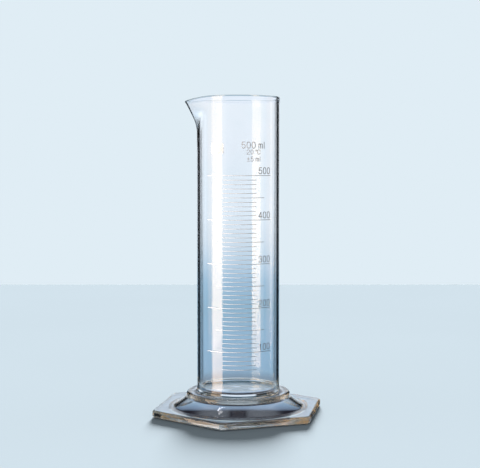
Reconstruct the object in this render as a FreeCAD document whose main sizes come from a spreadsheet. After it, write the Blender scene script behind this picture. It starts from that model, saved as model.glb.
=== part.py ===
import FreeCAD, Part

import math
import os

import Sketcher

# A 500 ml graduated cylinder of the squat form, in clear borosilicate glass.
#
# A drawn glass tube with a rounded bottom and a pouring spout stands on a pressed hexagonal glass foot. A
# ring of glass, the collar, joins the two. The scale is enamel, printed on the tube and fired. Nothing moves.
#
# Frame: millimetres, +Z up. The origin is on the tube's axis, on the surface that the foot stands on. The
# spout points to -X and the scale faces -Y. Angles of the print are turned from the front (-Y) towards +X.

# Driving dimensions: alias, value and what it is. Lengths are in millimetres and angles in degrees.
DIMENSIONS = (
    ("tube_radius", 32.8, "outside radius of the tube"),
    ("wall", 2.3, "thickness of the tube's wall"),
    ("total_height", 251.3, "from the table to the rim"),
    ("floor_height", 18.1, "inside bottom of the tube"),
    ("floor_rounding", 4.0, "inside corner between bottom and wall"),
    ("heel_radius", 33.6, "swollen foot of the tube, inside the collar"),
    ("heel_blend", 3.6, "height over which the heel thins to the tube"),
    ("heel_blend_radius", 6.0, "hollow rounding above the heel"),
    ("spout_start", 229.7, "height where the spout leaves the tube"),
    ("spout_half_angle", 43.5, "half of the arc that the spout takes from the rim"),
    ("spout_nose_radius", 3.5, "outside rounding of the spout's tip"),
    ("spout_root_half_angle", 7.0, "half of the arc that the spout's crease takes at its foot"),
    ("spout_dip_start", 18.0, "distance from the axis where the rim starts to dip"),
    ("spout_dip_radius", 125.0, "radius of the dip of the rim towards the tip"),
    ("plate_corner_radius", 72.1, "from the axis to a corner of the hexagon, before rounding"),
    ("plate_thickness", 5.5, "thickness of the hexagonal plate"),
    ("plate_corner_rounding", 6.0, "rounding of the hexagon's corners, seen from above"),
    ("plate_edge_rounding", 1.6, "rounding of the plate's top and bottom edges"),
    ("foot_turn", 19.65, "turn of the hexagon about the axis, from a corner on +X"),
    ("dome_height", 13.0, "flat top of the dome, where tube and collar sit"),
    ("dome_base_radius", 53.1, "where the dome runs out into the plate"),
    ("dome_slope", 36.0, "slope of the dome's side"),
    ("dome_blend_radius", 2.5, "hollow rounding between plate and dome"),
    ("dome_shoulder_radius", 2.4, "rounding of the dome's top edge"),
    ("rest_ring_radius", 55.0, "inside of the ring that rests on the table"),
    ("rest_ring_depth", 1.2, "step behind the resting ring"),
    ("rest_ring_draft", 1.0, "slope of that step, so that the plunger comes out"),
    ("hollow_radius", 51.6, "hollow under the dome, at its wide end"),
    ("hollow_height", 11.0, "top of the hollow under the dome"),
    ("collar_bead_radius", 2.1, "half-round outside of the collar"),
    ("collar_bead_centre", 39.2, "distance from the axis of the bead's centre"),
    ("collar_inner_rise", 0.4, "how far the collar climbs towards the tube"),
    ("hundred_height", 52.6, "height of the 100 ml line"),
    ("enamel_thickness", 0.08, "thickness of the fired enamel"),
    ("line_width", 0.38, "width of a scale line"),
    ("long_line_start", -46.4, "left end of the lines at each 100 ml"),
    ("long_line_end", 49.7, "right end of the lines at each 100 ml"),
    ("middle_line_start", -31.1, "left end of the lines at each other 50 ml"),
    ("middle_line_end", 37.5, "right end of the lines at each other 50 ml"),
    ("short_line_start", -21.4, "left end of the lines at each other 10 ml"),
    ("short_line_end", 25.4, "right end of the lines at each other 10 ml"),
    ("numeral_height", 5.3, "height of the figures"),
    ("numeral_start", 28.5, "left edge of the figures"),
    ("numeral_lift", 1.1, "gap from a line's middle to the foot of its figure"),
    ("stroke_width", 0.52, "width of the large figures' strokes"),
    ("small_stroke_width", 0.4, "width of the small lettering's strokes"),
    ("inscription_centre", 22.0, "middle of the three lines of lettering"),
    ("capacity_height", 210.2, "foot of the capacity lettering"),
    ("temperature_height", 205.7, "foot of the temperature lettering"),
    ("tolerance_height", 200.3, "foot of the tolerance lettering"),
    ("small_letter_height", 3.8, "height of the small lettering"),
    ("patch_start", -39.4, "left edge of the writing patch"),
    ("patch_end", -20.2, "right edge of the writing patch"),
    ("patch_height", 206.2, "lower edge of the writing patch"),
    ("patch_rise", 8.4, "height of the writing patch"),
    ("patch_rounding", 1.4, "rounded corners of the writing patch"),
)

# The scale, in millilitres: a line at each step, longer ones at each group of steps and at each hundred.
STEP = 10
GROUP = 50
HUNDRED = 100
FIRST_LINE = 60
LAST_LINE = 500
HUNDREDS = (100, 200, 300, 400, 500)
CUBIC_MM_PER_MILLILITRE = 1000.0

FULL_TURN = 360.0
FRONT = -90.0
HALF = 0.5
FLAT_OF_HEXAGON = math.cos(math.radians(30.0))

# How far helper shapes reach past the glass or enamel that they cut or join, in millimetres.
MARGIN = 1.0

# The sketcher's numbers for its origin and for the two ends of an edge.
SKETCH_ORIGIN = (-1, 1)
START_POINT, END_POINT = 1, 2
SAME_POINT = 1e-6


class Size:
    """A length or angle with its value and the expression that gives it from the sheet."""

    def __init__(self, value, expression=None):
        self.value = float(value)
        self.expression = expression or "%r" % float(value)

    def _joined(self, other, sign, value):
        return Size(value, "(%s %s %s)" % (self.expression, sign, other.expression))

    def __add__(self, other):
        other = as_size(other)
        return self._joined(other, "+", self.value + other.value)

    def __sub__(self, other):
        other = as_size(other)
        return self._joined(other, "-", self.value - other.value)

    def __mul__(self, other):
        other = as_size(other)
        return self._joined(other, "*", self.value * other.value)

    def __truediv__(self, other):
        other = as_size(other)
        return self._joined(other, "/", self.value / other.value)

    def __neg__(self):
        return Size(0) - self


def as_size(number):
    """A plain number counts as a size of its own."""
    return number if isinstance(number, Size) else Size(number)


def sine(angle):
    return Size(math.sin(math.radians(angle.value)), "sin(%s * 1 deg)" % angle.expression)


def cosine(angle):
    return Size(math.cos(math.radians(angle.value)), "cos(%s * 1 deg)" % angle.expression)


def tangent(angle):
    return sine(angle) / cosine(angle)


def square_root(number):
    return Size(math.sqrt(number.value), "sqrt(%s)" % number.expression)


def make_sheet(doc):
    """Write the driving dimensions to the sheet, and return them by name."""
    sheet = doc.addObject("Spreadsheet::Sheet", "Dimensions")
    sizes = {}
    for row, (alias, value, meaning) in enumerate(DIMENSIONS, start=1):
        sheet.set("A%d" % row, str(value))
        sheet.setAlias("A%d" % row, alias)
        sheet.set("B%d" % row, meaning)
        sizes[alias] = Size(value, "Dimensions.%s" % alias)
    doc.recompute()
    return sizes


# ---- sketches ------------------------------------------------------------------------------------


def origin_item(body, role):
    """The body's own origin plane or axis of that role."""
    return next(item for item in body.Origin.OriginFeatures if item.Role == role)


def new_sketch(body, name, role, offset=None):
    """A sketch on one of the body's origin planes, lifted along the plane's normal by an offset."""
    sketch = body.newObject("Sketcher::SketchObject", name)
    sketch.AttachmentSupport = [(origin_item(body, role), "")]
    sketch.MapMode = "FlatFace"
    if offset is not None:
        sketch.setExpression(".AttachmentOffset.Base.z", offset.expression)
    return sketch


def bind(sketch, kind, geometry, point, size):
    """Fix one coordinate of a point to a size. A zero stays a plain zero."""
    index = sketch.addConstraint(Sketcher.Constraint(kind, *SKETCH_ORIGIN, geometry, point, size.value))
    if size.value != 0:
        sketch.setExpression("Constraints[%d]" % index, size.expression)


def arc_between(start, end, radius, clockwise):
    """The minor arc from start to end with a given radius."""
    first = FreeCAD.Vector(start[0], start[1], 0)
    last = FreeCAD.Vector(end[0], end[1], 0)
    chord = last - first
    rise = math.sqrt(max(radius ** 2 - (chord.Length * HALF) ** 2, 0.0))
    side = FreeCAD.Vector(-chord.y, chord.x, 0).normalize()
    if clockwise:
        side = side.negative()
    centre = first + chord * HALF + side * rise
    middle = centre - side * radius
    return Part.Arc(first, middle, last)


def closed_outline(sketch, corners):
    """Draw a closed outline and bind it.

    Each corner is (x, y) or (x, y, radius, turn). A radius makes the edge that leaves the corner a round
    one, and turn is "left" or "right", the way that it bends.
    """
    points = [(corner[0].value, corner[1].value) for corner in corners]
    count = len(corners)
    for index, corner in enumerate(corners):
        start, end = points[index], points[(index + 1) % count]
        if len(corner) > 2:
            radius, turn = corner[2], corner[3]
            sketch.addGeometry(arc_between(start, end, radius.value, turn == "right"), False)
        else:
            line = Part.LineSegment(FreeCAD.Vector(*start, 0), FreeCAD.Vector(*end, 0))
            sketch.addGeometry(line, False)
    starts = [start_of(sketch, index, points[index]) for index in range(count)]
    ends = [END_POINT if start == START_POINT else START_POINT for start in starts]
    for index in range(count):
        after = (index + 1) % count
        sketch.addConstraint(Sketcher.Constraint("Coincident", index, ends[index], after, starts[after]))
    for index, corner in enumerate(corners):
        bind(sketch, "DistanceX", index, starts[index], corner[0])
        bind(sketch, "DistanceY", index, starts[index], corner[1])
        if len(corner) > 2:
            radius_index = sketch.addConstraint(Sketcher.Constraint("Radius", index, corner[2].value))
            sketch.setExpression("Constraints[%d]" % radius_index, corner[2].expression)


def start_of(sketch, index, point):
    """Which end of an edge lies at a point. Arcs always run left-handed in a sketch."""
    gap = sketch.getPoint(index, START_POINT).distanceToPoint(FreeCAD.Vector(*point, 0))
    return START_POINT if gap < SAME_POINT else END_POINT


# ---- features ------------------------------------------------------------------------------------


def new_body(doc, label, turn=None, lift=None):
    """A body with its own label, turned about +Z and lifted by sizes from the sheet."""
    body = doc.addObject("PartDesign::Body", label)
    body.Label = label
    if turn is not None:
        body.setExpression(".Placement.Rotation.Angle", turn.expression)
        body.setExpression(".Placement.Rotation.Axis.z", "1")
    if lift is not None:
        body.setExpression(".Placement.Base.z", lift.expression)
    return body


def revolve(body, name, sketch, kind="PartDesign::Revolution", angle=None):
    """Turn a sketch of the XZ plane about +Z, all round or through an angle."""
    feature = body.newObject(kind, name)
    feature.Profile = sketch
    feature.ReferenceAxis = (origin_item(body, "Z_Axis"), [""])
    if angle is None:
        feature.Angle = FULL_TURN
    else:
        feature.setExpression("Angle", angle.expression)
    return feature


def volume(body):
    body.Document.recompute()
    return body.Shape.Volume


def cut_by(body, make_feature):
    """Make a feature that takes material away, and check that it did."""
    before = volume(body)
    make_feature()
    if volume(body) >= before:
        raise RuntimeError("%s: the last cut took nothing away" % body.Label)


def loft(body, name, low, high, kind):
    feature = body.newObject(kind, name)
    feature.Profile = low
    feature.Sections = [high]
    feature.Ruled = True
    return feature


def fillet(body, name, chosen, radius):
    """Round the edges that a test chooses on the body's present shape."""
    body.Document.recompute()
    base = body.Tip
    names = ["Edge%d" % (index + 1) for index, edge in enumerate(base.Shape.Edges) if chosen(edge)]
    feature = body.newObject("PartDesign::Fillet", name)
    feature.Base = (base, names)
    feature.setExpression("Radius", radius.expression)
    return feature


# ---- glass ---------------------------------------------------------------------------------------


def drop_outline(radius, nose, half_angle):
    """The rim from above: a circle, two lines that leave it tangentially, and a round nose towards -X."""
    centre = (radius - nose) / cosine(half_angle)
    rim_x = -(radius * cosine(half_angle))
    rim_y = radius * sine(half_angle)
    nose_x = -(centre + nose * cosine(half_angle))
    nose_y = nose * sine(half_angle)
    return [
        (radius, Size(0), radius, "left"),
        (rim_x, rim_y),
        (nose_x, nose_y, nose, "left"),
        (nose_x, -nose_y),
        (rim_x, -rim_y, radius, "left"),
    ]


def circle_outline(radius, half_angle, root_angle):
    """The tube's circle, divided where the drop's outline is divided."""
    rim_x = -(radius * cosine(half_angle))
    rim_y = radius * sine(half_angle)
    root_x = -(radius * cosine(root_angle))
    root_y = radius * sine(root_angle)
    corners = [(radius, Size(0)), (rim_x, rim_y), (root_x, root_y), (root_x, -root_y), (rim_x, -rim_y)]
    return [(x, y, radius, "left") for x, y in corners]


def spout_loft(body, name, size, radius, nose, kind):
    """The tube from the spout's foot to the rim, solid, out to one of the wall's two faces."""
    low = new_sketch(body, name + "_low", "XY_Plane", size["spout_start"])
    closed_outline(low, circle_outline(radius, size["spout_half_angle"], size["spout_root_half_angle"]))
    high = new_sketch(body, name + "_high", "XY_Plane", size["total_height"])
    closed_outline(high, drop_outline(radius, nose, size["spout_half_angle"]))
    body.Document.recompute()
    return loft(body, name, low, high, kind)


def cut_rim_dip(body, size):
    """Lower the rim towards the spout's tip, along an arc that starts level."""
    start, top, radius = -size["spout_dip_start"], size["total_height"], size["spout_dip_radius"]
    run = size["tube_radius"]
    drop = radius - square_root(radius * radius - run * run)
    above = top + Size(MARGIN)
    sketch = new_sketch(body, "rim_dip_outline", "XZ_Plane")
    closed_outline(sketch, [
        (start, top, radius, "left"),
        (start - run, top - drop),
        (start - run, above),
        (start, above),
    ])
    feature = body.newObject("PartDesign::Pocket", "rim_dip")
    feature.Profile = sketch
    feature.Type = "ThroughAll"
    feature.Midplane = True
    return feature


def make_measuring_tube(doc, size):
    """The tube: closed and thick at the bottom, with a spout and a polished rim at the top."""
    body = new_body(doc, "measuring_tube")
    outer, heel = size["tube_radius"], size["heel_radius"]
    inner = outer - size["wall"]
    base, spout = size["dome_height"], size["spout_start"]
    collar_top = base + size["collar_bead_radius"] * Size(2) + size["collar_inner_rise"]
    zero = Size(0)

    blank = new_sketch(body, "blank_outline", "XZ_Plane")
    closed_outline(blank, [
        (zero, base),
        (heel, base),
        (heel, collar_top, size["heel_blend_radius"], "right"),
        (outer, collar_top + size["heel_blend"]),
        (outer, spout),
        (zero, spout),
    ])
    revolve(body, "blank", blank)
    spout_loft(body, "spout_outside", size, outer, size["spout_nose_radius"], "PartDesign::AdditiveLoft")

    bore = new_sketch(body, "bore_outline", "XZ_Plane")
    floor, rounding = size["floor_height"], size["floor_rounding"]
    closed_outline(bore, [
        (zero, floor),
        (inner - rounding, floor, rounding, "left"),
        (inner, floor + rounding),
        (inner, spout),
        (zero, spout),
    ])
    cut_by(body, lambda: revolve(body, "bore", bore, "PartDesign::Groove"))
    inner_nose = size["spout_nose_radius"] - size["wall"]
    subtract = "PartDesign::SubtractiveLoft"
    cut_by(body, lambda: spout_loft(body, "spout_inside", size, inner, inner_nose, subtract))
    cut_by(body, lambda: cut_rim_dip(body, size))
    return body


def make_hexagonal_foot(doc, size):
    """The pressed foot: a hexagonal plate with a round dome on it and a hollow under the dome."""
    body = new_body(doc, "hexagonal_foot", turn=size["foot_turn"])
    corner, thickness = size["plate_corner_radius"], size["plate_thickness"]
    half_corner = corner * Size(HALF)
    flat_side = corner * Size(FLAT_OF_HEXAGON)
    zero = Size(0)

    hexagon = new_sketch(body, "plate_outline", "XY_Plane")
    closed_outline(hexagon, [
        (corner, zero),
        (half_corner, flat_side),
        (-half_corner, flat_side),
        (-corner, zero),
        (-half_corner, -flat_side),
        (half_corner, -flat_side),
    ])
    plate = body.newObject("PartDesign::Pad", "plate")
    plate.Profile = hexagon
    plate.setExpression("Length", thickness.expression)
    middle = HALF * thickness.value
    fillet(body, "plate_corners", lambda edge: edge.BoundBox.ZLength > middle, size["plate_corner_rounding"])
    fillet(body, "plate_edges", lambda edge: edge.BoundBox.ZLength < middle, size["plate_edge_rounding"])

    slope, blend = size["dome_slope"], size["dome_blend_radius"]
    shoulder, top = size["dome_shoulder_radius"], size["dome_height"]
    side_low_x = size["dome_base_radius"] - blend * sine(slope)
    side_low_z = thickness + blend * (Size(1) - cosine(slope))
    edge_x = side_low_x - (top - side_low_z) / tangent(slope)
    setback = shoulder * tangent(slope * Size(HALF))
    under = thickness - Size(MARGIN)
    dome = new_sketch(body, "dome_outline", "XZ_Plane")
    closed_outline(dome, [
        (zero, under),
        (size["dome_base_radius"], under),
        (size["dome_base_radius"], thickness, blend, "right"),
        (side_low_x, side_low_z),
        (edge_x + setback * cosine(slope), top - setback * sine(slope), shoulder, "left"),
        (edge_x - setback, top),
        (zero, top),
    ])
    revolve(body, "dome", dome)

    hollow = new_sketch(body, "hollow_outline", "XZ_Plane")
    depth, hollow_top = size["rest_ring_depth"], size["hollow_height"]
    closed_outline(hollow, [
        (zero, zero),
        (size["rest_ring_radius"], zero),
        (size["rest_ring_radius"] - size["rest_ring_draft"], depth),
        (size["hollow_radius"], depth),
        (size["hollow_radius"] - (hollow_top - depth) / tangent(slope), hollow_top),
        (zero, hollow_top),
    ])
    cut_by(body, lambda: revolve(body, "hollow", hollow, "PartDesign::Groove"))
    return body


def make_fused_collar(doc, size):
    """The ring of glass round the tube's heel, with a half-round outside."""
    body = new_body(doc, "fused_collar")
    base, bead = size["dome_height"], size["collar_bead_radius"]
    bead_top = base + bead * Size(2)
    outline = new_sketch(body, "collar_outline", "XZ_Plane")
    closed_outline(outline, [
        (size["heel_radius"], base),
        (size["collar_bead_centre"], base, bead, "left"),
        (size["collar_bead_centre"] + bead, base + bead, bead, "left"),
        (size["collar_bead_centre"], bead_top),
        (size["heel_radius"], bead_top + size["collar_inner_rise"]),
    ])
    revolve(body, "collar", outline)
    return body


# ---- enamel --------------------------------------------------------------------------------------


def step_height(size):
    """Height of one step of the scale in the tube's bore."""
    inner = size["tube_radius"] - size["wall"]
    step_volume = Size(STEP * CUBIC_MM_PER_MILLILITRE)
    return step_volume / (inner * inner * Size(math.pi))


def line_height(size, millilitres):
    """Height of a scale line above the table."""
    steps = (millilitres - HUNDREDS[0]) / STEP
    return size["hundred_height"] + step_height(size) * Size(steps)


def enamel_band(body, size, name, rise, angle):
    """A thin patch of enamel on the tube, from the body's own +X round through an angle."""
    radius = size["tube_radius"]
    outside = radius + size["enamel_thickness"]
    half_rise = rise * Size(HALF)
    sketch = new_sketch(body, name + "_outline", "XZ_Plane")
    closed_outline(sketch, [
        (radius, -half_rise),
        (outside, -half_rise),
        (outside, half_rise),
        (radius, half_rise),
    ])
    return revolve(body, name, sketch, angle=angle)


def repeat_upwards(body, name, count, span):
    """One step of a pattern: count copies spread over a span along +Z."""
    pattern = body.newObject("PartDesign::LinearPattern", name)
    pattern.Direction = (origin_item(body, "Z_Axis"), [""])
    pattern.setExpression("Length", span.expression)
    pattern.Occurrences = count
    return pattern


def make_scale_lines(doc, size, label, ends, first, runs):
    """Equal scale lines from a first height upwards. Each run is (count, millilitres between copies)."""
    start, end = ends
    body = new_body(doc, label, turn=start + Size(FRONT), lift=line_height(size, first))
    line = enamel_band(body, size, "line", size["line_width"], end - start)
    doc.recompute()
    multi = body.newObject("PartDesign::MultiTransform", "lines")
    multi.Originals = [line]
    steps = []
    for index, (count, millilitres) in enumerate(runs):
        span = step_height(size) * Size((count - 1) * millilitres / STEP)
        steps.append(repeat_upwards(body, "run_%d" % index, count, span))
    multi.Transformations = steps
    body.Tip = multi
    return body


def make_writing_patch(doc, size):
    """A plain patch to write on in pencil, with rounded corners."""
    middle = size["patch_height"] + size["patch_rise"] * Size(HALF)
    body = new_body(doc, "writing_patch", turn=size["patch_start"] + Size(FRONT), lift=middle)
    enamel_band(body, size, "patch", size["patch_rise"], size["patch_end"] - size["patch_start"])
    doc.recompute()
    across = 2 * size["enamel_thickness"].value
    fillet(body, "patch_corners", lambda edge: edge.Length < across, size["patch_rounding"])
    return body


# Strokes of the lettering, in units of its height, as the line that the pen's middle follows. A stroke
# starts at its first point. Each later step is a point, for a straight run, or a pair of points, for an arc
# through the first of them to the second.
GLYPHS = {
    "0": [[(0.09, 0.70), ((0.31, 0.95), (0.53, 0.70)), ((0.57, 0.50), (0.53, 0.30)),
           ((0.31, 0.05), (0.09, 0.30)), ((0.05, 0.50), (0.09, 0.70))]],
    "1": [[(0.14, 0.76), ((0.30, 0.82), (0.38, 0.95)), (0.38, 0.05)]],
    "2": [[(0.06, 0.70), ((0.30, 0.95), (0.54, 0.70)), ((0.49, 0.52), (0.34, 0.38)),
           ((0.12, 0.20), (0.05, 0.05)), (0.56, 0.05)]],
    "3": [[(0.07, 0.76), ((0.30, 0.95), (0.51, 0.74)), ((0.45, 0.58), (0.27, 0.53))],
          [(0.27, 0.53), ((0.50, 0.46), (0.56, 0.29)), ((0.30, 0.05), (0.05, 0.27))]],
    "4": [[(0.43, 0.05), (0.43, 0.93), (0.04, 0.29)], [(0.04, 0.29), (0.58, 0.29)]],
    "5": [[(0.52, 0.94), (0.14, 0.94), (0.09, 0.48), ((0.42, 0.59), (0.55, 0.33)),
           ((0.28, 0.05), (0.05, 0.25))]],
    "m": [[(0.05, 0.05), (0.05, 0.70)],
          [(0.05, 0.50), ((0.21, 0.69), (0.36, 0.52)), (0.36, 0.05)],
          [(0.36, 0.50), ((0.52, 0.69), (0.67, 0.52)), (0.67, 0.05)]],
    "l": [[(0.08, 0.05), (0.08, 0.95)]],
    "C": [[(0.62, 0.66), ((0.35, 0.95), (0.05, 0.50)), ((0.35, 0.05), (0.63, 0.31))]],
    "degree": [[(0.06, 0.80), ((0.19, 0.93), (0.32, 0.80)), ((0.19, 0.67), (0.06, 0.80))]],
    "plus_minus": [[(0.05, 0.52), (0.55, 0.52)], [(0.30, 0.27), (0.30, 0.77)], [(0.05, 0.07), (0.55, 0.07)]],
}
ADVANCES = {"1": 0.76, "l": 0.30, "m": 0.90, "C": 0.80, "degree": 0.44, "space": 0.34}
DIGIT_ADVANCE = 0.76


def stroke_wire(steps, height):
    """The middle line of one stroke, as a wire in the XY plane."""
    def at(point):
        return FreeCAD.Vector(point[0] * height, point[1] * height, 0)

    place = at(steps[0])
    edges = []
    for step in steps[1:]:
        if isinstance(step[0], tuple):
            target = at(step[1])
            edges.append(Part.Arc(place, at(step[0]), target).toShape())
        else:
            target = at(step)
            edges.append(Part.LineSegment(place, target).toShape())
        place = target
    return Part.Wire(edges)


def straight_stroke(wire, width):
    """A straight stroke has no plane of its own to be offset in, so it is a bar with two round ends."""
    start, end = (vertex.Point for vertex in wire.OrderedVertexes)
    along = (end - start).normalize()
    across = FreeCAD.Vector(-along.y, along.x, 0) * (width * HALF)
    cap = along * (width * HALF)
    edges = [
        Part.LineSegment(start - across, end - across).toShape(),
        Part.Arc(end - across, end + cap, end + across).toShape(),
        Part.LineSegment(end + across, start + across).toShape(),
        Part.Arc(start + across, start - cap, start - across).toShape(),
    ]
    return Part.Face(Part.Wire(edges))


def stroke_face(steps, height, width):
    """One stroke with its width."""
    wire = stroke_wire(steps, height)
    if wire.isClosed():
        outside = Part.Face(wire.makeOffset2D(width * HALF))
        return outside.cut(Part.Face(wire.makeOffset2D(-width * HALF)))
    if len(wire.Edges) == 1:
        return straight_stroke(wire, width)
    return wire.makeOffset2D(width * HALF, join=0, fill=True, openResult=False)


def glyph_prism(glyph, height, width, depth):
    """A whole glyph standing on the XY plane, with its strokes fused."""
    upwards = FreeCAD.Vector(0, 0, depth)
    prisms = [stroke_face(steps, height, width).extrude(upwards) for steps in GLYPHS[glyph]]
    return prisms[0].multiFuse(prisms[1:]).removeSplitter() if len(prisms) > 1 else prisms[0]


def lettering(size, glyphs, height, width):
    """Letters wrapped round the tube, from the front towards +X, with their foot at height zero.

    Each letter is cut from the enamel's skin by a prism that points at the axis. Returns the solids and the
    angle that they take.
    """
    radius, thickness = size["tube_radius"].value, size["enamel_thickness"].value
    skin = Part.makeCylinder(radius + thickness, height).cut(Part.makeCylinder(radius, height))
    x_axis, z_axis = FreeCAD.Vector(1, 0, 0), FreeCAD.Vector(0, 0, 1)
    solids = []
    cursor = 0.0
    for glyph in glyphs:
        advance = ADVANCES.get(glyph, DIGIT_ADVANCE) * height
        if glyph in GLYPHS:
            prism = glyph_prism(glyph, height, width, 2 * MARGIN)
            prism.translate(FreeCAD.Vector(-advance * HALF, 0, radius - MARGIN))
            prism.rotate(FreeCAD.Vector(), x_axis, -FRONT)
            prism.rotate(FreeCAD.Vector(), z_axis, math.degrees((cursor + advance * HALF) / radius))
            solids.extend(skin.common(prism).Solids)
        cursor += advance
    return Part.makeCompound(solids), math.degrees(cursor / radius)


def make_lettering(doc, size, label, glyphs, heights, start=None):
    """Lettering as a sub-part. Without a start angle it is centred on the inscriptions' middle."""
    foot, height, width = (value.value for value in heights)
    shape, angle = lettering(size, glyphs, height, width)
    first = size["inscription_centre"].value - angle * HALF if start is None else start.value
    turn = FreeCAD.Rotation(FreeCAD.Vector(0, 0, 1), first)
    feature = doc.addObject("Part::Feature", label)
    feature.Label = label
    feature.Shape = shape
    feature.Placement = FreeCAD.Placement(FreeCAD.Vector(0, 0, foot), turn)
    return feature


def make_scale(doc, size):
    """Lines and figures. The lowest line is 60 ml, as lower down the rounded bottom spoils the measure."""
    long_ends = size["long_line_start"], size["long_line_end"]
    middle_ends = size["middle_line_start"], size["middle_line_end"]
    short_ends = size["short_line_start"], size["short_line_end"]
    long_runs = [(len(HUNDREDS), HUNDRED)]
    middle_runs = [(len(HUNDREDS) - 1, HUNDRED)]
    short_runs = [(GROUP // STEP - 1, STEP), ((LAST_LINE - FIRST_LINE + STEP) // GROUP, GROUP)]
    parts = [
        make_scale_lines(doc, size, "hundred_lines", long_ends, HUNDREDS[0], long_runs),
        make_scale_lines(doc, size, "fifty_lines", middle_ends, HUNDREDS[0] + GROUP, middle_runs),
        make_scale_lines(doc, size, "ten_lines", short_ends, FIRST_LINE, short_runs),
    ]
    for value in HUNDREDS:
        foot = line_height(size, value) + size["numeral_lift"]
        heights = foot, size["numeral_height"], size["stroke_width"]
        label, start = "numeral_%d" % value, size["numeral_start"]
        parts.append(make_lettering(doc, size, label, str(value), heights, start))
    return parts


def make_inscriptions(doc, size):
    """Three lines of plain lettering: the capacity, the temperature that it holds at, and the tolerance."""
    large = size["numeral_height"], size["stroke_width"]
    small = size["small_letter_height"], size["small_stroke_width"]
    rows = (
        ("capacity_inscription", ["5", "0", "0", "space", "m", "l"], "capacity_height", large),
        ("temperature_inscription", ["2", "0", "space", "degree", "C"], "temperature_height", small),
        ("tolerance_inscription", ["plus_minus", "5", "space", "m", "l"], "tolerance_height", small),
    )
    return [make_lettering(doc, size, label, glyphs, (size[foot], *letter))
            for label, glyphs, foot, letter in rows]


# ---- writing -------------------------------------------------------------------------------------


def check(doc, parts):
    """Stop if anything in the document failed, or a sub-part has no valid shape."""
    failed = [item.Label for item in doc.Objects if {"Invalid", "Error"} & set(item.State)]
    failed += [part.Label for part in parts if part.Shape.isNull() or not part.Shape.isValid()]
    if failed:
        raise RuntimeError("failed objects: %s" % ", ".join(failed))


def export(parts):
    os.makedirs("parts", exist_ok=True)
    for part in parts:
        part.Shape.exportStep("parts/%s.step" % part.Label)
        print("%-24s %3d solids %12.2f mm3" % (part.Label, len(part.Shape.Solids), part.Shape.Volume))


def main():
    doc = FreeCAD.newDocument("graduated_cylinder")
    size = make_sheet(doc)
    parts = [make_measuring_tube(doc, size), make_hexagonal_foot(doc, size), make_fused_collar(doc, size)]
    parts += make_scale(doc, size)
    parts += make_inscriptions(doc, size)
    parts.append(make_writing_patch(doc, size))
    doc.recompute()
    check(doc, parts)
    export(parts)


main()
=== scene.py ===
"""Looks of the squat 500 ml graduated cylinder: three fused pieces of glass with a fired enamel scale.

The glass is remodelled here as smooth closed meshes, because refraction shows every facet. The enamel
nodes of the frame keep their shapes and get a better material. The object's sizes are in millimetres,
which MM turns into metres. The studio's and the camera's are in metres.
"""

import math

import bpy
import numpy as np
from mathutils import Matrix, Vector


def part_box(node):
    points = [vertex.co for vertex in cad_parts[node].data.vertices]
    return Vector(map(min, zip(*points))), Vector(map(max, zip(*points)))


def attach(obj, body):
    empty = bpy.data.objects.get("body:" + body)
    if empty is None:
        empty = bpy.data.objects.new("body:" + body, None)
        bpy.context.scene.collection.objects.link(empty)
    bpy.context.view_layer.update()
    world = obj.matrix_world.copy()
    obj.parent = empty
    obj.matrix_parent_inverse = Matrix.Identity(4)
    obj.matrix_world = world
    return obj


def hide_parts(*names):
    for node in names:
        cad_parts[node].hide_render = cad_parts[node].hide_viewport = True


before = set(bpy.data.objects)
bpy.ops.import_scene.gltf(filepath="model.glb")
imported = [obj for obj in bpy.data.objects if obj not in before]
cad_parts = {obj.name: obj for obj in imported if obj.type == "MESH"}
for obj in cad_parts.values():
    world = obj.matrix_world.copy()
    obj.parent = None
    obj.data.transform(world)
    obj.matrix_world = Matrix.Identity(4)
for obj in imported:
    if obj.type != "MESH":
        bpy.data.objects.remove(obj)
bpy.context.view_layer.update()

MM = 0.001
BODY = "root"
TURN = 2 * math.pi
QUARTER = math.pi / 2

# ---- sizes of the object, from the frame where it gives them -------------------------------------

TUBE_LOW, TUBE_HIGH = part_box("measuring_tube")
COLLAR_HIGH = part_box("fused_collar")[1]

HEIGHT = TUBE_HIGH.z / MM
SEAT = TUBE_LOW.z / MM
HEEL_RADIUS = TUBE_HIGH.x / MM
COLLAR_TOP = COLLAR_HIGH.z / MM
COLLAR_RADIUS = COLLAR_HIGH.x / MM
SPOUT_REACH = -TUBE_LOW.x / MM

TUBE_RADIUS = 32.8
WALL = 2.3
FLOOR = 18.1
FLOOR_ROUNDING = 4.0
FLOOR_RISE = 0.35
FLOOR_MIDDLE = 2.0
HEEL_BLEND = 3.6
RIM_SWELL = 0.35
RIM_SWELL_HEIGHT = 2.5
RIM_CAP = 1.15

SPOUT_START = 229.7
SPOUT_NOSE = 3.5
SPOUT_CREASE = 2.5
SPOUT_BEND_ROOM = 5.0
DIP_START = 18.0
DIP_RADIUS = 125.0

BEAD_RADIUS = 2.1
BEAD_CENTRE = COLLAR_RADIUS - BEAD_RADIUS
COLLAR_SAG = 0.25

HEX_HALF = math.pi / 6
PLATE = 5.5
PLATE_CORNER = 72.1
PLATE_CORNER_ROUNDING = 6.0
PLATE_EDGE_ROUNDING = 1.6
FOOT_TURN = math.radians(19.65)
DOME_BASE = 53.1
DOME_SLOPE = math.radians(36.0)
DOME_BLEND = 2.5
DOME_SHOULDER = 2.4
REST_RING = 55.0
REST_DEPTH = 1.2
REST_CURVE = ((0.25, 0.12), (0.5, 0.45), (0.8, 1.0))
HOLLOW_RADIUS = 51.6
HOLLOW_TOP = 11.0
HOLLOW_ROUNDING = 1.6
HOLLOW_MIDDLE = 3.0

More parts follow.
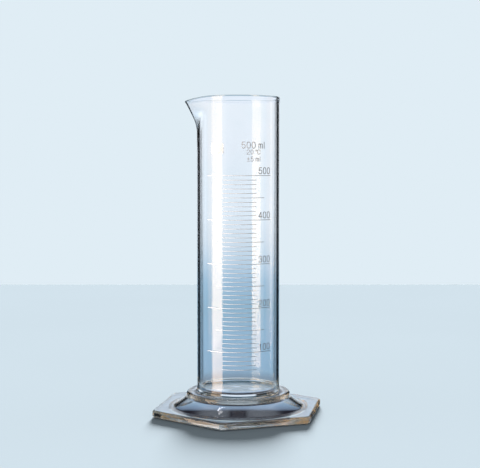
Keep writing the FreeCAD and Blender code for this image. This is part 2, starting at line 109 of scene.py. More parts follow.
# How far the glass leaves its exact shape, the lengths of the waves in which it does, and their seeds.
TUBE_SEED = 11
TUBE_WAVES = (9.0, 17.0, 33.0)
TUBE_WAVE_STRETCH = (1.0, 1.0, 0.06)
TUBE_UNEVEN_OUTSIDE = 0.002
TUBE_UNEVEN_INSIDE = 0.003
COLLAR_SEED = 5
COLLAR_WAVES = (8.0, 14.0, 26.0)
COLLAR_UNEVEN = 0.03
FOOT_SEED = 23
FOOT_WAVES = (13.0, 22.0, 41.0)
FOOT_UNEVEN = 0.012
FOOT_UNEVEN_ROWS = 4
UNDERSIDE_LEVEL = 0.2

TUBE_COLUMNS = 320
TUBE_CROWDING = 0.75
COLLAR_COLUMNS = 360
FOOT_COLUMNS = 480
SHARP_EDGE = math.radians(50)

# ---- the photograph's framing --------------------------------------------------------------------

SENSOR = 36.0
LENS = 86.1
CAMERA_PLACE = Vector((0.0014, -0.9141, 0.1984))
CAMERA_DOWN = math.radians(3.489)


# ---- meshes --------------------------------------------------------------------------------------


def ring(angles, radius, height):
    """A row of points round the axis. Radius and height are numbers or one value per angle."""
    radius = np.broadcast_to(radius, angles.shape)
    height = np.broadcast_to(height, angles.shape)
    return np.stack([radius * np.cos(angles), radius * np.sin(angles), height], axis=1)


def level_row(outline, height):
    """A row of points on an outline (x, y), all at one height."""
    return np.column_stack([outline, np.full(len(outline), height)])


def steps(count):
    """Equal steps from 0 to 1, the 0 left out."""
    return np.linspace(0, 1, count + 1)[1:]


def ease(step):
    """A smooth climb from 0 to 1."""
    return step * step * (3 - 2 * step)


def arc_points(centre, radius, start, end, count):
    """Points (r, z) of a profile's arc, from one angle to another, ends included."""
    turns = np.linspace(start, end, count)
    return [(centre[0] + radius * math.cos(a), centre[1] + radius * math.sin(a)) for a in turns]


def spread(start, end, count):
    """Points (r, z) from start to end, the start left out."""
    start, end = np.array(start, float), np.array(end, float)
    return [tuple(start + (end - start) * step / count) for step in range(1, count + 1)]


def link(name, data):
    """A new object in the scene."""
    made = bpy.data.objects.new(name, data)
    bpy.context.scene.collection.objects.link(made)
    return made


def shell(name, rows, hidden, loop=False):
    """A closed mesh from rows of points. It is capped with a fan at each end, or joined end to end.

    hidden holds the indices of the strips that are fused to another piece of glass. The fan at the start
    is strip -1.
    """
    count = len(rows[0])
    points = [point for row in rows for point in row]
    faces, slots = [], []
    strips = len(rows) if loop else len(rows) - 1
    for strip in range(strips):
        low, high = strip * count, ((strip + 1) % len(rows)) * count
        for index in range(count):
            after = (index + 1) % count
            faces.append((low + index, low + after, high + after, high + index))
            slots.append(int(strip in hidden))
    if not loop:
        points += [(0, 0, rows[0][:, 2].mean()), (0, 0, rows[-1][:, 2].mean())]
        first, last, high = len(points) - 2, len(points) - 1, (len(rows) - 1) * count
        for index in range(count):
            after = (index + 1) % count
            faces.append((first, after, index))
            slots.append(int(-1 in hidden))
            faces.append((last, high + index, high + after))
            slots.append(int(strips in hidden))
    mesh = bpy.data.meshes.new(name)
    mesh.from_pydata([tuple(float(v) * MM for v in point) for point in points], [], faces)
    mesh.polygons.foreach_set("material_index", slots)
    mesh.polygons.foreach_set("use_smooth", [True] * len(faces))
    mesh.set_sharp_from_angle(angle=SHARP_EDGE)
    mesh.update()
    return link(name, mesh)


class Ripple:
    """A smooth, repeatable unevenness of hand-finished glass: waves with random directions and phases."""

    WAVES_PER_LENGTH = 5

    def __init__(self, seed, wavelengths):
        draw = np.random.default_rng(seed)
        self.waves = []
        for wavelength in wavelengths:
            for _ in range(self.WAVES_PER_LENGTH):
                direction = draw.normal(size=3)
                direction /= np.linalg.norm(direction)
                self.waves.append((direction * TURN / wavelength, draw.uniform(0, TURN)))

    def __call__(self, points):
        total = sum(np.sin(points @ wave + phase) for wave, phase in self.waves)
        return total / math.sqrt(len(self.waves) / 2)


# ---- the tube ------------------------------------------------------------------------------------


def dip(x):
    """How far the rim lies below its highest level at a distance towards the spout."""
    run = np.maximum(0.0, -np.asarray(x, float) - DIP_START)
    return DIP_RADIUS - np.sqrt(DIP_RADIUS ** 2 - run ** 2)


def spout_reach(height):
    """How far the spout's line lies from the axis at a height: straight, with a soft crease at its start."""
    slope = (SPOUT_REACH - TUBE_RADIUS) / (HEIGHT - dip(-SPOUT_REACH) - SPOUT_START)
    rise = np.asarray(height, float) - SPOUT_START
    return TUBE_RADIUS + slope * SPOUT_CREASE * np.logaddexp(0.0, rise / SPOUT_CREASE)


def drop_radius(angles, reach, inset):
    """The tube's section at one height: a circle, two tangents and a round nose, moved in by inset."""
    radius, nose = TUBE_RADIUS - inset, SPOUT_NOSE - inset
    centre = reach - SPOUT_NOSE
    cosine = np.clip((TUBE_RADIUS - SPOUT_NOSE) / centre, -1.0, 1.0)
    half = math.acos(cosine)
    away = np.abs((angles % TURN) - math.pi)
    nose_half = math.atan2(nose * math.sin(half), centre + nose * math.cos(half))
    on_line = radius / np.cos(half - np.minimum(away, half))
    inside = np.maximum(nose ** 2 - (centre * np.sin(np.minimum(away, nose_half))) ** 2, 0.0)
    on_nose = centre * np.cos(away) + np.sqrt(inside)
    return np.where(away > half, radius, np.where(away > nose_half, on_line, on_nose))


def make_tube(name):
    """The drawn tube: its wall from the seat up, the swollen rim, the wall inside and the rounded bottom."""
    even = np.arange(TUBE_COLUMNS) / TUBE_COLUMNS * TURN
    angles = even + TUBE_CROWDING * np.sin(even)
    streak = Ripple(TUBE_SEED, TUBE_WAVES)
    stretch = np.array(TUBE_WAVE_STRETCH)

    def wall_row(height, inset, swell=0.0, unevenness=0.0):
        level = np.broadcast_to(height, angles.shape)
        reaches = np.broadcast_to(spout_reach(level), angles.shape)
        radius = np.array([drop_radius(angle, reach, inset) for angle, reach in zip(angles, reaches)])
        row = ring(angles, radius + swell, level)
        return ring(angles, radius + swell + unevenness * streak(row * stretch), level)

    rim_reach = float(spout_reach(HEIGHT))
    rim_radius = np.array([drop_radius(angle, rim_reach, 0.0) for angle in angles])
    cap_base = HEIGHT - dip(rim_radius * np.cos(angles)) - RIM_CAP

    low = COLLAR_TOP + HEEL_BLEND
    straight = np.linspace(low, SPOUT_START - SPOUT_BEND_ROOM, num=26)[1:]

    def upper(inset, swell):
        made = []
        for step in steps(count=33):
            level = straight[-1] + (cap_base - straight[-1]) * step
            near = np.clip((level - cap_base + RIM_SWELL_HEIGHT) / RIM_SWELL_HEIGHT, 0, 1)
            made.append(wall_row(level, inset, swell=swell * ease(near)))
        return made

    rows = [ring(angles, HEEL_RADIUS, SEAT), ring(angles, HEEL_RADIUS, COLLAR_TOP)]
    for step in steps(count=8):
        radius = HEEL_RADIUS + (TUBE_RADIUS - HEEL_RADIUS) * ease(step)
        rows.append(ring(angles, radius, COLLAR_TOP + HEEL_BLEND * step))
    rows += [wall_row(height, 0.0, unevenness=TUBE_UNEVEN_OUTSIDE) for height in straight]
    outside, inside = upper(0.0, RIM_SWELL), upper(WALL, 0.0)
    rows += outside
    outer = np.linalg.norm(outside[-1][:, :2], axis=1)
    inner = np.linalg.norm(inside[-1][:, :2], axis=1)
    for turn in np.linspace(0, math.pi, num=11)[1:-1]:
        radius = (outer + inner) / 2 + (outer - inner) / 2 * math.cos(turn)
        rows.append(ring(angles, radius, cap_base + RIM_CAP * math.sin(turn)))
    rows += inside[::-1]
    bottom = FLOOR + FLOOR_ROUNDING
    above = [height for height in straight[::-1] if height > bottom + FLOOR_ROUNDING / 2]
    rows += [wall_row(height, WALL, unevenness=TUBE_UNEVEN_INSIDE) for height in above]
    corner = (TUBE_RADIUS - WALL - FLOOR_ROUNDING, bottom)
    middle = (FLOOR_MIDDLE, FLOOR + FLOOR_RISE)
    profile = arc_points(corner, FLOOR_ROUNDING, 0, -QUARTER, count=11)
    profile += spread((corner[0], FLOOR), middle, count=7)
    rows += [ring(angles, r, z) for r, z in profile]
    return shell(name, rows, hidden={-1, 0})


# ---- the collar and the foot ---------------------------------------------------------------------


def make_collar(name):
    """The fused ring: half-round outside, and a top that climbs to the tube in a small hollow curve."""
    angles = np.arange(COLLAR_COLUMNS) / COLLAR_COLUMNS * TURN
    bead = arc_points((BEAD_CENTRE, SEAT + BEAD_RADIUS), BEAD_RADIUS, -QUARTER, QUARTER, count=17)
    bead_top = SEAT + 2 * BEAD_RADIUS
    top = []
    for step in steps(count=8):
        inward = BEAD_CENTRE + (HEEL_RADIUS - BEAD_CENTRE) * step
        climb = (COLLAR_TOP - bead_top) * step ** 3
        top.append((inward, bead_top - COLLAR_SAG * math.sin(math.pi * step) + climb))
    profile = [(HEEL_RADIUS, SEAT)] + bead + top
    ripple = Ripple(COLLAR_SEED, COLLAR_WAVES)
    rows = []
    for index, (radius, height) in enumerate(profile):
        row = ring(angles, radius, height)
        if 1 < index < len(profile) - 1:
            sideways, upwards = ripple(row), ripple(row[:, ::-1])
            row = ring(angles, radius + COLLAR_UNEVEN * sideways, height + COLLAR_UNEVEN * upwards)
        rows.append(row)
    return shell(name, rows, hidden={0, len(rows) - 1}, loop=True)


def hexagon_edge(angles, inset):
    """Points of the rounded hexagon, moved in by inset, at the places that face the given angles."""
    apothem = PLATE_CORNER * math.cos(HEX_HALF)
    local = (angles - FOOT_TURN) % (2 * HEX_HALF) - HEX_HALF
    sector = angles - local
    to_arc = apothem - PLATE_CORNER_ROUNDING
    arc_distance = to_arc / math.cos(HEX_HALF)
    away = HEX_HALF - np.abs(local)
    side = np.sign(local)
    flat_half = to_arc * math.tan(HEX_HALF)
    across = apothem * np.tan(local)
    on_flat = np.abs(across) <= flat_half
    flat_x, flat_y = apothem - inset, np.clip(across, -flat_half, flat_half)
    bulge = np.maximum(PLATE_CORNER_ROUNDING ** 2 - (arc_distance * np.sin(away)) ** 2, 0.0)
    distance = arc_distance * np.cos(away) + np.sqrt(bulge)
    corner_x = arc_distance * math.cos(HEX_HALF)
    corner_y = side * arc_distance * math.sin(HEX_HALF)
    normal_x = distance * np.cos(local) - corner_x
    normal_y = distance * np.sin(local) - corner_y
    scale = (PLATE_CORNER_ROUNDING - inset) / PLATE_CORNER_ROUNDING
    x = np.where(on_flat, flat_x, corner_x + normal_x * scale)
    y = np.where(on_flat, flat_y, corner_y + normal_y * scale)
    cosine, sine = np.cos(sector), np.sin(sector)
    return np.stack([x * cosine - y * sine, x * sine + y * cosine], axis=1)


def dome_profile():
    """Points (r, z) of the dome's outside, from its flat top to the plate."""
    blend_centre = (DOME_BASE, PLATE + DOME_BLEND)
    blend = arc_points(blend_centre, DOME_BLEND, 3 * QUARTER - DOME_SLOPE, 3 * QUARTER, count=12)
    low = blend[0]
    edge = low[0] - (SEAT - low[1]) / math.tan(DOME_SLOPE)
    setback = DOME_SHOULDER * math.tan(DOME_SLOPE / 2)
    shoulder_centre = (edge - setback, SEAT - DOME_SHOULDER)
    shoulder = arc_points(shoulder_centre, DOME_SHOULDER, QUARTER, QUARTER - DOME_SLOPE, count=8)
    return shoulder + spread(shoulder[-1], low, count=6) + blend[1:]


def hollow_profile():
    """Points (r, z) of the underside, from the resting ring to the middle of the hollow."""
    rise = HOLLOW_TOP - REST_DEPTH
    setback = HOLLOW_ROUNDING * math.tan(DOME_SLOPE / 2)
    low_centre = (HOLLOW_RADIUS + setback, REST_DEPTH + HOLLOW_ROUNDING)
    high_centre = (HOLLOW_RADIUS - rise / math.tan(DOME_SLOPE) - setback, HOLLOW_TOP - HOLLOW_ROUNDING)
    step = [(REST_RING, 0.0)] + [(REST_RING - inward, height) for inward, height in REST_CURVE]
    step.append((REST_RING - REST_DEPTH, REST_DEPTH))
    low = arc_points(low_centre, HOLLOW_ROUNDING, -QUARTER, -QUARTER - DOME_SLOPE, count=7)
    high = arc_points(high_centre, HOLLOW_ROUNDING, QUARTER - DOME_SLOPE, QUARTER, count=7)
    points = step + spread(step[-1], low[0], count=4) + low[1:]
    points += spread(low[-1], high[0], count=5) + high[1:]
    return points + spread(points[-1], (HOLLOW_MIDDLE, HOLLOW_TOP), count=10)


def make_foot(name):
    """The pressed foot. Its seat, where tube and collar are fused on, is true, and the rest is uneven."""
    angles = FOOT_TURN + np.arange(FOOT_COLUMNS) / FOOT_COLUMNS * TURN
    seat = [ring(angles, HEEL_RADIUS, SEAT), ring(angles, BEAD_CENTRE, SEAT)]
    rows = seat + [ring(angles, r, z) for r, z in dome_profile()]
    circle = ring(angles, DOME_BASE, PLATE)[:, :2]
    rounding = PLATE_EDGE_ROUNDING
    brink = hexagon_edge(angles, rounding)
    rows += [level_row(circle + (brink - circle) * step, PLATE) for step in steps(count=10)]

    def rounded_edge(turns, centre):
        made = []
        for turn in turns:
            edge = hexagon_edge(angles, rounding * (1 - math.cos(turn)))
            made.append(level_row(edge, centre + rounding * math.sin(turn)))
        return made

    rows += rounded_edge(np.linspace(QUARTER, 0, num=8)[1:], PLATE - rounding)
    rim = hexagon_edge(angles, 0.0)
    rows += [level_row(rim, height) for height in np.linspace(PLATE - rounding, rounding, num=5)[1:]]
    rows += rounded_edge(np.linspace(0, -QUARTER, num=8)[1:], rounding)
    resting = ring(angles, REST_RING, 0.0)[:, :2]
    rows += [level_row(brink + (resting - brink) * step, 0.0) for step in steps(count=4)[:-1]]
    rows += [ring(angles, r, z) for r, z in hollow_profile()]
    uneven = Ripple(FOOT_SEED, FOOT_WAVES)
    for index in range(len(seat), len(rows)):
        row = rows[index]
        amount = FOOT_UNEVEN * min(1.0, (index - len(seat)) / FOOT_UNEVEN_ROWS)
        level = row[:, 2] + amount * uneven(row)
        if row[:, 2].max() < UNDERSIDE_LEVEL:
            level = np.maximum(level, 0.0)
        rows[index] = np.column_stack([row[:, :2], level])
    piece = shell(name, rows, hidden={-1, 0})
    piece.data.flip_normals()
    return piece


# ---- materials -----------------------------------------------------------------------------------

GLASS_IOR = 1.473
ENAMEL_IOR = 1.5
SMEAR_SCALE = 45.0
SMEAR_TINTS = ((0.35, (0.97, 0.985, 0.985)), (0.7, (1.0, 1.0, 1.0)))
CORD_STRENGTH = 0.5

# The colour and density of each glass, and the scale, stretch and depth in metres of the fine cords in it.
DRAWN_GLASS = ((0.80, 0.88, 0.90), 4.0, 60.0, (1.0, 1.0, 0.05), 0.00001)
PRESSED_GLASS = ((0.86, 0.80, 0.69), 25.0, 38.0, (1.0, 1.0, 1.0), 0.00001)
FLAME_WORKED_GLASS = ((0.90, 0.89, 0.84), 9.0, 45.0, (1.0, 1.0, 1.0), 0.00003)

ENAMEL_TONES = ((0.3, (0.10, 0.087, 0.081)), (0.7, (0.12, 0.105, 0.098)))
ENAMEL_CLOUD_SCALE = 420.0
ENAMEL_GRAIN_SCALE = 5200.0
ENAMEL_GRAIN_STRENGTH = 0.25
ENAMEL_GRAIN_DEPTH = 0.00002
ENAMEL_SMOOTHEST = 0.42
ENAMEL_ROUGHEST = 0.6

# Sockets of the Mix node for colours.
MIX_FIRST, MIX_SECOND, MIX_COLOUR = 6, 7, 2


class Nodes:
    """A short way to write a node tree."""

    def __init__(self, tree):
        self.tree = tree
        tree.nodes.clear()

    def set_input(self, socket, value):
        if isinstance(value, bpy.types.NodeSocket):
            self.tree.links.new(value, socket)
        else:
            socket.default_value = value

    def add(self, kind, inputs=None, **settings):
        node = self.tree.nodes.new(kind)
        for key, value in settings.items():
            setattr(node, key, value)
        for key, value in (inputs or {}).items():
            self.set_input(node.inputs[key], value)
        return node

    def ramp(self, factor, stops):
        node = self.add("ShaderNodeValToRGB", {"Fac": factor})
        while len(node.color_ramp.elements) < len(stops):
            node.color_ramp.elements.new(0.5)
        for element, (place, colour) in zip(node.color_ramp.elements, stops):
            element.position = place
            element.color = (*colour, 1.0)
        return node.outputs["Color"]

    def noise(self, place, scale, detail=2.0):
        inputs = {"Vector": place, "Scale": scale, "Detail": detail}
        return self.add("ShaderNodeTexNoise", inputs).outputs["Fac"]

    def math(self, operation, first, second=0.0, third=0.0):
        node = self.add("ShaderNodeMath", operation=operation)
        for index, value in enumerate((first, second, third)):
            self.set_input(node.inputs[index], value)
        return node.outputs[0]

    def mix(self, blend, first, second):
        inputs = {"Factor": 1.0, MIX_FIRST: first, MIX_SECOND: second}
        return self.add("ShaderNodeMix", inputs, data_type="RGBA", blend_type=blend).outputs[MIX_COLOUR]

    def place(self):
        """The shaded point in the object's own coordinates."""
        return self.add("ShaderNodeTexCoord").outputs["Object"]

    def position(self):
        """The shaded point's X, Y and Z in the scene."""
        point = self.add("ShaderNodeNewGeometry").outputs["Position"]
        return self.add("ShaderNodeSeparateXYZ", {"Vector": point}).outputs

    def surface(self, shader, **others):
        """Makes the shader the material's surface."""
        self.add("ShaderNodeOutputMaterial", {"Surface": shader.outputs[0], **others})

    def glow(self, colour):
        """Makes the material's surface glow in a colour."""
        self.surface(self.add("ShaderNodeEmission", {"Color": colour, "Strength": 1.0}))


def new_material(name):
    material = bpy.data.materials.new(name)
    material.use_nodes = True
    return material, Nodes(material.node_tree)


def glass_material(name, absorb_colour, absorb_density, cord_scale, cord_stretch, cord_depth):
    """Clear borosilicate glass. Its faint colour comes from the length of the light's way through it."""
    material, nodes = new_material(name)
    place = nodes.place()
    stretched = nodes.add("ShaderNodeMapping", {"Vector": place, "Scale": cord_stretch}).outputs["Vector"]
    cords = nodes.noise(stretched, cord_scale)
    bump = nodes.add("ShaderNodeBump", {"Height": cords, "Strength": CORD_STRENGTH, "Distance": cord_depth})
    tint = nodes.ramp(nodes.noise(place, SMEAR_SCALE, detail=3.0), SMEAR_TINTS)
    shader = nodes.add("ShaderNodeBsdfPrincipled", {
        "Base Color": tint,
        "Roughness": 0.0,
        "IOR": GLASS_IOR,
        "Transmission Weight": 1.0,
        "Normal": bump.outputs[0],
    })
    colour = (*absorb_colour, 1.0)
    volume = nodes.add("ShaderNodeVolumeAbsorption", {"Color": colour, "Density": absorb_density})
    nodes.surface(shader, Volume=volume.outputs[0])
    return material


def fused_material():
    """The plane where two pieces of glass have run together: light passes as if it weren't there."""
    material, nodes = new_material("fused_boundary")
    nodes.surface(nodes.add("ShaderNodeBsdfTransparent"))
    return material


def enamel_material():
    """Fired ceramic enamel: a satin grey-brown print with a fine grain and slightly uneven cover."""
    material, nodes = new_material("scale_enamel_fired")
    place = nodes.place()
    cloud = nodes.noise(place, ENAMEL_CLOUD_SCALE, detail=3.0)
    grain = nodes.noise(place, ENAMEL_GRAIN_SCALE)
    bump = nodes.add("ShaderNodeBump", {
        "Height": grain,
        "Strength": ENAMEL_GRAIN_STRENGTH,
        "Distance": ENAMEL_GRAIN_DEPTH,
    })
    rough = nodes.add("ShaderNodeMapRange", {
        "Value": cloud,
        "To Min": ENAMEL_SMOOTHEST,
        "To Max": ENAMEL_ROUGHEST,
    })
    nodes.surface(nodes.add("ShaderNodeBsdfPrincipled", {
        "Base Color": nodes.ramp(cloud, ENAMEL_TONES),
        "Roughness": rough.outputs[0],
        "IOR": ENAMEL_IOR,
        "Normal": bump.outputs[0],
    }))
    return material


# ---- studio --------------------------------------------------------------------------------------

PALE = (0.745, 0.847, 0.913)
BLACK = (0.0, 0.0, 0.0)
WHITE = (1.0, 1.0, 1.0)

TABLE_TONE = (0.165, 0.182, 0.192)
TABLE_FAINT = 0.99
TABLE_CLOUD_SCALE = 3.0
TABLE_BACK = 0.971
TABLE_SPAN = 3.0
TABLE_DROP = 0.0003

BACK_LIGHT_ENERGY = 57.6
BACK_LIGHT_COLOUR = (0.915, 0.967, 1.0)
BACK_LIGHT_SPREAD = math.radians(14.0)
BACK_LIGHT_RISE = math.radians(11.0)
BACK_LIGHT_SIDE = math.radians(3.0)

PRINT_LIGHT_SIZE = (0.16, 0.30)
PRINT_LIGHT_ENERGY = 24.0
PRINT_LIGHT_PLACE = (-0.303, -0.175, 0.06)
PRINT_LIGHT_TURN = (math.radians(90), 0, math.radians(-60))

SKY_RADIUS = 4.0
SKY_CENTRE = (0, 0, 0.12)
SKY_SPAN = 2 * SKY_RADIUS
SKY_LEAN = -0.01

# The tones of the surroundings by their height in metres. Those below 0 stand for the table.
SKY_TONES = (
    (-2.70, (0.06, 0.07, 0.09)),
    (-2.25, (0.62, 0.75, 0.83)),
    (-1.60, (0.62, 0.75, 0.83)),
    (-1.15, (0.48, 0.60, 0.68)),
    (-1.00, (0.22, 0.28, 0.36)),
    (-0.85, (0.23, 0.32, 0.43)),
    (-0.70, (0.31, 0.48, 0.66)),
    (-0.55, (0.325, 0.51, 0.70)),
    (-0.42, (0.31, 0.50, 0.67)),
    (-0.30, (0.38, 0.57, 0.76)),
    (-0.20, (0.59, 0.74, 0.89)),
    (-0.12, (0.72, 0.83, 0.95)),
    (0.0, (0.82, 0.92, 1.03)),
    (0.24, (0.86, 0.94, 1.04)),
    (0.48, (0.90, 0.97, 1.06)),
    (0.65, (0.88, 0.96, 1.08)),
    (1.20, (0.62, 0.72, 0.84)),
    (1.90, (0.20, 0.24, 0.30)),
    (2.80, (0.20, 0.24, 0.30)),
    (3.30, (0.80, 0.92, 1.06)),
)

# Their brightness by the angle from straight behind the object, in degrees. SKY_LEAN shifts it with the
# height, in half turns for each metre. The dark gap between 15 and 39 degrees draws the dark outlines.
SKY_SIDES = (
    (0, 1.0), (12.5, 1.0), (14, 0.5), (15, 0.0), (39, 0.0), (49, 1.2),
    (56, 1.6), (64, 0.6), (80, 0.6), (110, 0.6), (180, 0.4),
)

# Below the first height no side is dimmer than straight behind. Above the second, only SKY_SIDES counts.
SKY_FLOOR = (-1.20, -1.00)

# The upright cards: their X, their reach in Y and in Z, and their tones from their foot to their top.
LEFT_SIDE = -0.335
RIGHT_SIDE = 0.365
SOFTBOX_LEFT = (-0.345, -0.084)
BOARD_LEFT = (-0.084, 0.0)
SOFTBOX_RIGHT = (-0.45, -0.11)
BOARD_RIGHT = (-0.05, 0.15)
STANDING = (0.0, 0.5)
HANGING = (-0.25, 0.0)

SOFTBOX_LEFT_TONES = (
    (0.0, (8.2, 6.1, 4.5)), (0.14, (7.6, 5.6, 3.8)), (0.32, (4.0, 2.9, 1.8)),
    (0.5, (2.7, 1.9, 1.1)), (1.0, (3.4, 2.5, 1.5)),
)
SOFTBOX_LEFT_FOOT_TONES = ((0.0, (4.2, 3.7, 3.4)), (1.0, (6.4, 4.6, 3.2)))
BOARD_LEFT_TONES = ((0.0, (0.8, 0.8, 0.8)), (1.0, (0.5, 0.45, 0.35)))
BOARD_RIGHT_TONES = ((0.0, (0.7, 0.5, 0.5)), (0.14, (1.0, 0.75, 0.6)), (1.0, (0.6, 0.5, 0.4)))
SOFTBOX_RIGHT_TONES = (
    (0.0, (0.25, 0.28, 0.33)), (0.18, (1.15, 1.05, 0.95)), (0.40, (1.05, 0.97, 0.86)),
    (1.0, (0.9, 0.82, 0.75)),
)

CARD_ABOVE_PLACE = (-0.147, 0.055, 0.538)
CARD_ABOVE_SIZE = (0.008, 0.07)
CARD_ABOVE_TONE = (14.0, 14.0, 15.0)

# The tones under the foot by their Y in metres.
SHADE_TONES = (
    (-0.004, (0.02, 0.02, 0.03)), (0.005, (0.19, 0.26, 0.38)), (0.02, (0.27, 0.40, 0.58)),
    (0.05, (0.46, 0.62, 0.80)),
)
SHADE_SPAN = 0.1


def for_glass_only(card):
    """Light cards and surroundings show in glass, by reflection or refraction, and nowhere else."""
    card.visible_camera = False
    card.visible_diffuse = False
    card.visible_shadow = False


def card_mesh(name, corners):
    """A flat card in the scene, with one face."""
    mesh = bpy.data.meshes.new(name)
    mesh.from_pydata(corners, [], [(0, 1, 2, 3)])
    return link(name, mesh)


def level_corners(left, right, near, far, height=0.0):
    """The corners of a level rectangle."""
    return [(left, near, height), (right, near, height), (right, far, height), (left, far, height)]


def placed(tones, span):
    """Tones by a length in metres, as the stops of a ramp that covers that span, with 0 in its middle."""
    return [(0.5 + length / span, colour) for length, colour in tones]


def upright_panel(name, x, sides, heights, tones):
    """A glowing card that stands parallel to the YZ plane. Its colour changes with the height."""
    near, far = sides
    low, high = heights
    card = card_mesh(name, [(x, near, low), (x, far, low), (x, far, high), (x, near, high)])
    material, nodes = new_material(name)
    limits = {"Value": nodes.position()["Z"], "From Min": low, "From Max": high}
    nodes.glow(nodes.ramp(nodes.add("ShaderNodeMapRange", limits).outputs[0], tones))
    card.data.materials.append(material)
    for_glass_only(card)


def make_surroundings():
    """The pale backdrop behind the object, dark gaps beside it and a dimmer room, for the glass alone."""
    bpy.ops.mesh.primitive_uv_sphere_add(
        segments=64, ring_count=32, radius=SKY_RADIUS, location=SKY_CENTRE)
    studio = bpy.context.active_object
    studio.name = "studio_surroundings"
    material, nodes = new_material("studio_surroundings")
    position = nodes.position()
    azimuth = nodes.math("ARCTAN2", position["X"], position["Y"])
    aside = nodes.math("DIVIDE", nodes.math("ABSOLUTE", azimuth), math.pi)
    turned = nodes.math("MULTIPLY_ADD", position["Z"], SKY_LEAN, aside)
    height = nodes.math("MULTIPLY_ADD", position["Z"], 1 / SKY_SPAN, 0.5)
    backdrop = nodes.ramp(height, placed(SKY_TONES, SKY_SPAN))
    sides = nodes.ramp(turned, [(degrees / 180, (tone, tone, tone)) for degrees, tone in SKY_SIDES])
    floor = nodes.ramp(height, placed(zip(SKY_FLOOR, (WHITE, BLACK)), SKY_SPAN))
    nodes.glow(nodes.mix("MULTIPLY", backdrop, nodes.mix("LIGHTEN", sides, floor)))
    studio.data.materials.append(material)
    for_glass_only(studio)


def make_table():
    """The pale table top. It ends behind the object, which draws the line that the backdrop starts at."""
    corners = level_corners(-TABLE_SPAN, TABLE_SPAN, -TABLE_SPAN, TABLE_BACK, height=-TABLE_DROP)
    table = card_mesh("table_top", corners)
    material, nodes = new_material("table_top")
    faint = tuple(value * TABLE_FAINT for value in TABLE_TONE)
    cloud = nodes.noise(nodes.place(), TABLE_CLOUD_SCALE)
    colour = nodes.ramp(cloud, [(0.4, faint), (0.6, TABLE_TONE)])
    nodes.surface(nodes.add("ShaderNodeBsdfDiffuse", {"Color": colour}))
    table.data.materials.append(material)
    table.visible_transmission = False
    table.visible_glossy = False
    return table


def make_world():
    """The even pale light of the room, which is also the backdrop that the camera sees."""
    world = bpy.data.worlds.new("studio_air")
    world.use_nodes = True
    bpy.context.scene.world = world
    nodes = Nodes(world.node_tree)
    sky = nodes.add("ShaderNodeBackground", {"Color": (*PALE, 1.0), "Strength": 1.0})
    nodes.add("ShaderNodeOutputWorld", {"Surface": sky.outputs[0]})


def make_panels():
    """A strip softbox on the left, which shows in the tube's front and back wall, and smaller cards."""
    upright_panel("softbox_left", LEFT_SIDE, SOFTBOX_LEFT, STANDING, SOFTBOX_LEFT_TONES)
    upright_panel("softbox_left_foot", LEFT_SIDE, SOFTBOX_LEFT, HANGING, SOFTBOX_LEFT_FOOT_TONES)
    upright_panel("board_left", LEFT_SIDE, BOARD_LEFT, STANDING, BOARD_LEFT_TONES)
    upright_panel("board_right", RIGHT_SIDE, BOARD_RIGHT, STANDING, BOARD_RIGHT_TONES)
    make_card_above()
    make_foot_shade()
    upright_panel("softbox_right", RIGHT_SIDE, SOFTBOX_RIGHT, STANDING, SOFTBOX_RIGHT_TONES)


def make_card_above():
    """A small glowing card that faces the foot and puts the highlight on the dome."""
    width, height = CARD_ABOVE_SIZE
    card = card_mesh("card_above", level_corners(-width / 2, width / 2, -height / 2, height / 2))
    card.location = CARD_ABOVE_PLACE
    card.rotation_euler = (-Vector(CARD_ABOVE_PLACE)).to_track_quat("Z", "Y").to_euler()
    material, nodes = new_material("card_above")
    nodes.glow((*CARD_ABOVE_TONE, 1.0))
    card.data.materials.append(material)
    for_glass_only(card)


def make_foot_shade():
    """The table under the foot as the glass sees it, dark at the front. The table itself isn't in glass."""
    bpy.ops.mesh.primitive_circle_add(
        vertices=96, radius=REST_RING * MM, fill_type="NGON", location=(0, 0, -TABLE_DROP))
    card = bpy.context.active_object
    card.name = "shade_under_foot"
    material, nodes = new_material("shade_under_foot")
    reach = nodes.math("MULTIPLY_ADD", nodes.position()["Y"], 1 / SHADE_SPAN, 0.5)
    nodes.glow(nodes.ramp(reach, placed(SHADE_TONES, SHADE_SPAN)))
    card.data.materials.append(material)
    for_glass_only(card)


def collect(name, pieces):
    """A collection that light linking can name."""
    collection = bpy.data.collections.new(name)
    for piece in pieces:
        collection.objects.link(piece)
    return collection


def make_print_light(enamel):
    """A soft light from the left that reaches only the print, which is brighter on its left side."""
    lamp = bpy.data.lights.new("print_light", "AREA")
    lamp.shape = "RECTANGLE"
    lamp.size, lamp.size_y = PRINT_LIGHT_SIZE
    lamp.energy = PRINT_LIGHT_ENERGY
    light = link("print_light", lamp)
    light.location = PRINT_LIGHT_PLACE
    light.rotation_euler = PRINT_LIGHT_TURN
    light.visible_camera = False
    light.visible_glossy = False
    light.visible_transmission = False
    light.light_linking.receiver_collection = collect("printed_parts", enamel)


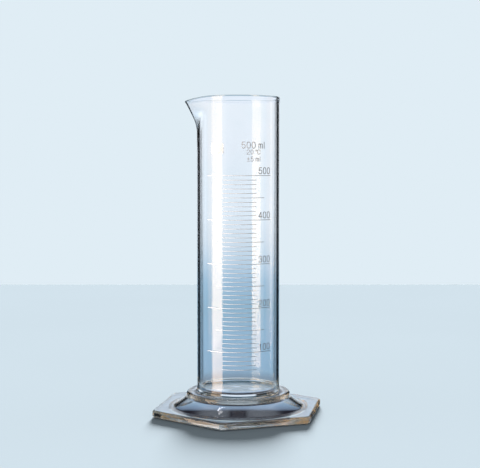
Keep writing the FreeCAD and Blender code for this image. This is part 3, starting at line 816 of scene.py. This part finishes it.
def make_back_light(table, foot):
    """The low light behind the object that brightens the table. Foot and collar cast its soft shadow."""
    lamp = bpy.data.lights.new("back_light", "SUN")
    lamp.energy = BACK_LIGHT_ENERGY
    lamp.color = BACK_LIGHT_COLOUR
    lamp.angle = BACK_LIGHT_SPREAD
    light = link("back_light", lamp)
    level, rise = math.cos(BACK_LIGHT_RISE), math.sin(BACK_LIGHT_RISE)
    towards = Vector((level * math.sin(BACK_LIGHT_SIDE), level * math.cos(BACK_LIGHT_SIDE), rise))
    light.rotation_euler = towards.to_track_quat("Z", "Y").to_euler()
    light.visible_glossy = False
    light.light_linking.receiver_collection = collect("back_lit", [table])
    light.light_linking.blocker_collection = collect("back_shading", foot)


def make_camera():
    """The camera at the photograph's viewing angle."""
    data = bpy.data.cameras.new("camera")
    data.sensor_width = SENSOR
    data.lens = LENS
    camera = link("camera", data)
    camera.location = CAMERA_PLACE
    camera.rotation_euler = (QUARTER - CAMERA_DOWN, 0, 0)
    bpy.context.scene.camera = camera


def set_light_paths():
    """Enough bounces for light to pass the many walls of glass."""
    cycles = bpy.context.scene.cycles
    cycles.max_bounces = 32
    cycles.transmission_bounces = 32
    cycles.glossy_bounces = 24
    cycles.diffuse_bounces = 3
    cycles.transparent_max_bounces = 32
    cycles.sample_clamp_indirect = 8.0
    cycles.caustics_refractive = False
    cycles.caustics_reflective = False
    bpy.context.scene.view_settings.view_transform = "Standard"


# ---- assembly ------------------------------------------------------------------------------------


def main():
    drawn = glass_material("drawn_glass", *DRAWN_GLASS)
    pressed = glass_material("pressed_glass", *PRESSED_GLASS)
    flamed = glass_material("flame_worked_glass", *FLAME_WORKED_GLASS)
    fused = fused_material()
    enamel_look = enamel_material()
    makers = (
        (make_tube, "glass_tube", "measuring_tube", "tube_glass", drawn),
        (make_collar, "glass_collar", "fused_collar", "pressed_glass", flamed),
        (make_foot, "glass_foot", "hexagonal_foot", "pressed_glass", pressed),
    )
    glass = {}
    for make, name, node, slot, look in makers:
        piece = make(name)
        piece.data.materials.append(look)
        piece.data.materials.append(fused)
        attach(piece, BODY)
        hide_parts(node)
        glass[node] = piece
    enamel = [piece for name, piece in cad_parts.items() if name not in glass]
    for piece in enamel:
        piece.material_slots[0].material = enamel_look
    make_world()
    make_back_light(make_table(), [glass["fused_collar"], glass["hexagonal_foot"]])
    make_surroundings()
    make_panels()
    make_print_light(enamel)
    make_camera()
    set_light_paths()


main()
